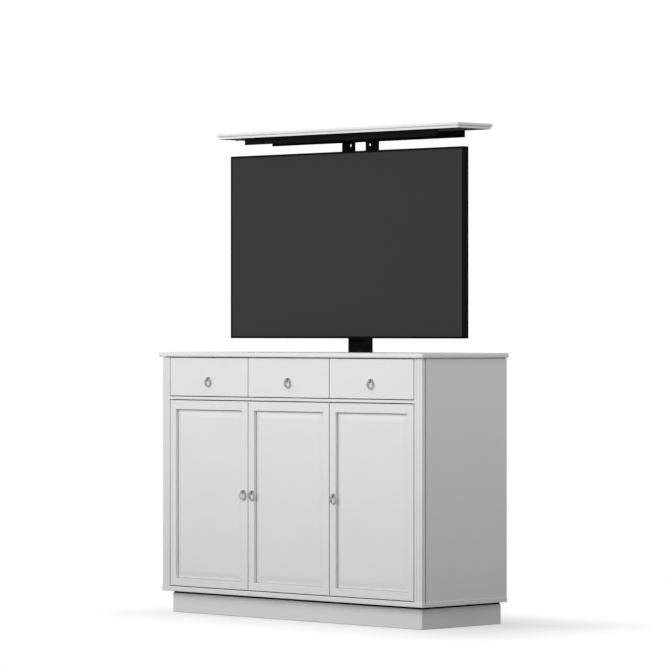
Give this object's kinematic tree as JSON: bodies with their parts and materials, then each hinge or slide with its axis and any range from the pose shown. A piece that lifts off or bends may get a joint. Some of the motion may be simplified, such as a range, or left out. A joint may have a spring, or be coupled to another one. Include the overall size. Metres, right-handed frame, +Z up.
{
  "type": "television lift cabinet",
  "caption": "Painted sideboard with drawers and doors whose lid and flat television rise through the top on a black telescopic electric lift column.",
  "frame": {"origin": "on the floor, under the middle of the part's overall box, with the lift raised", "axes": "+X to the right seen from the front, +Y to the back, +Z up"},
  "size_m": [1.264, 0.4202, 1.661],
  "materials": {
    "white_paint": "satin white paint on board",
    "inside_board": "melamine faced board",
    "drawer_wood": "lacquered birch",
    "runner_steel": "zinc plated steel",
    "black_steel": "black powder coat",
    "housing_alloy": "die cast alloy",
    "box_plastic": "moulded plastic",
    "glide_nylon": "moulded nylon",
    "nut_brass": "turned brass",
    "belt_rubber": "black rubber",
    "tv_plastic": "fine textured plastic",
    "tv_panel": "matt display panel",
    "nickel": "satin nickel plate"
  },
  "bodies": {
    "cabinet": {"plinth": "white_paint", "bottom_board": "white_paint", "left_side": "white_paint", "right_side": "white_paint", "corner_posts": "white_paint", "back_panel": "inside_board", "top_board": "white_paint", "front_rail": "white_paint", "bay_wall": "inside_board", "dividers": "inside_board", "drawer_runners": "runner_steel", "door_pivots": "runner_steel", "lift_base": "black_steel", "drive_housing": "housing_alloy", "outer_column": "black_steel", "outer_glides": "glide_nylon", "motor": "black_steel", "drive_belt": "belt_rubber", "control_box": "box_plastic", "lift_screws": "runner_steel"},
    "lower_spindle": {"lower_spindle": "runner_steel"},
    "motor_shaft": {"motor_pulley": "runner_steel"},
    "middle_stage": {"middle_column": "black_steel", "middle_glides": "glide_nylon", "lower_nut": "nut_brass"},
    "upper_spindle": {"upper_spindle": "runner_steel"},
    "carriage": {"inner_column": "black_steel", "inner_glides": "glide_nylon", "upper_nut": "nut_brass", "tv_hanger": "black_steel", "tv_rails": "black_steel", "carriage_screws": "black_steel", "lid_uprights": "black_steel", "lid_carrier": "black_steel", "lid": "white_paint", "lid_pads": "belt_rubber", "tv_back_cover": "tv_plastic", "tv_frame": "tv_plastic", "tv_screen": "tv_panel"},
    "left_drawer": {"left_drawer_front": "white_paint", "left_drawer_box": "drawer_wood", "left_drawer_eye": "nickel"},
    "left_drawer_ring": {"left_drawer_ring": "nickel"},
    "left_door": {"left_door": "white_paint", "left_door_eye": "nickel"},
    "left_door_ring": {"left_door_ring": "nickel"},
    "middle_drawer": {"middle_drawer_front": "white_paint", "middle_drawer_box": "drawer_wood", "middle_drawer_eye": "nickel"},
    "middle_drawer_ring": {"middle_drawer_ring": "nickel"},
    "middle_door": {"middle_door": "white_paint", "middle_door_eye": "nickel"},
    "middle_door_ring": {"middle_door_ring": "nickel"},
    "right_drawer": {"right_drawer_front": "white_paint", "right_drawer_box": "drawer_wood", "right_drawer_eye": "nickel"},
    "right_drawer_ring": {"right_drawer_ring": "nickel"},
    "right_door": {"right_door": "white_paint", "right_door_eye": "nickel"},
    "right_door_ring": {"right_door_ring": "nickel"}
  },
  "joints": [
    {"name": "lift", "type": "slide", "parent": "cabinet", "child": "carriage", "axis": [0, 0, 1], "range_m": [-0.74, 0]},
    {"name": "middle_slide", "type": "slide", "parent": "cabinet", "child": "middle_stage", "axis": [0, 0, 1], "range_m": [-0.371, 0.001]},
    {"name": "lower_spindle_turn", "type": "hinge", "parent": "cabinet", "child": "lower_spindle", "pos_m": [0, 0.15002, 0.15], "axis": [0, 0, 1], "range_deg": [-13330, 10]},
    {"name": "upper_spindle_turn", "type": "hinge", "parent": "middle_stage", "child": "upper_spindle", "pos_m": [0, 0.15002, 0.56], "axis": [0, 0, 1], "range_deg": [-13330, 10]},
    {"name": "motor_turn", "type": "hinge", "parent": "cabinet", "child": "motor_shaft", "pos_m": [0.092, 0.15002, 0.12], "axis": [0, 0, 1], "range_deg": [-26660, 20]},
    {"name": "left_drawer_slide", "type": "slide", "parent": "cabinet", "child": "left_drawer", "axis": [0, -1, 0], "range_m": [0, 0.15]},
    {"name": "left_drawer_ring_swing", "type": "hinge", "parent": "left_drawer", "child": "left_drawer_ring", "pos_m": [-0.38967, -0.20308, 0.809], "axis": [-1, 0, 0], "range_deg": [0, 95]},
    {"name": "left_door_hinge", "type": "hinge", "parent": "cabinet", "child": "left_door", "pos_m": [-0.578, -0.19057, 0.094], "axis": [0, 0, -1], "range_deg": [0, 100]},
    {"name": "left_door_ring_swing", "type": "hinge", "parent": "left_door", "child": "left_door_ring", "pos_m": [-0.21633, -0.20308, 0.427], "axis": [-1, 0, 0], "range_deg": [0, 95]},
    {"name": "middle_drawer_slide", "type": "slide", "parent": "cabinet", "child": "middle_drawer", "axis": [0, -1, 0], "range_m": [0, 0.15]},
    {"name": "middle_drawer_ring_swing", "type": "hinge", "parent": "middle_drawer", "child": "middle_drawer_ring", "pos_m": [0, -0.20308, 0.809], "axis": [-1, 0, 0], "range_deg": [0, 95]},
    {"name": "middle_door_hinge", "type": "hinge", "parent": "cabinet", "child": "middle_door", "pos_m": [0.18833, -0.19057, 0.094], "axis": [0, 0, 1], "range_deg": [0, 90]},
    {"name": "middle_door_ring_swing", "type": "hinge", "parent": "middle_door", "child": "middle_door_ring", "pos_m": [-0.17333, -0.20308, 0.427], "axis": [-1, 0, 0], "range_deg": [0, 95]},
    {"name": "right_drawer_slide", "type": "slide", "parent": "cabinet", "child": "right_drawer", "axis": [0, -1, 0], "range_m": [0, 0.15]},
    {"name": "right_drawer_ring_swing", "type": "hinge", "parent": "right_drawer", "child": "right_drawer_ring", "pos_m": [0.38967, -0.20308, 0.809], "axis": [-1, 0, 0], "range_deg": [0, 95]},
    {"name": "right_door_hinge", "type": "hinge", "parent": "cabinet", "child": "right_door", "pos_m": [0.578, -0.19057, 0.094], "axis": [0, 0, 1], "range_deg": [0, 100]},
    {"name": "right_door_ring_swing", "type": "hinge", "parent": "right_door", "child": "right_door_ring", "pos_m": [0.21633, -0.20308, 0.427], "axis": [-1, 0, 0], "range_deg": [0, 95]}
  ],
  "couplings": [
    {"joint": "middle_slide", "follows": "lift", "ratio": 0.5},
    {"joint": "lower_spindle_turn", "follows": "lift", "rad_per_m": 314.16},
    {"joint": "upper_spindle_turn", "follows": "lift", "rad_per_m": 314.16},
    {"joint": "motor_turn", "follows": "lift", "rad_per_m": 628.32}
  ]
}
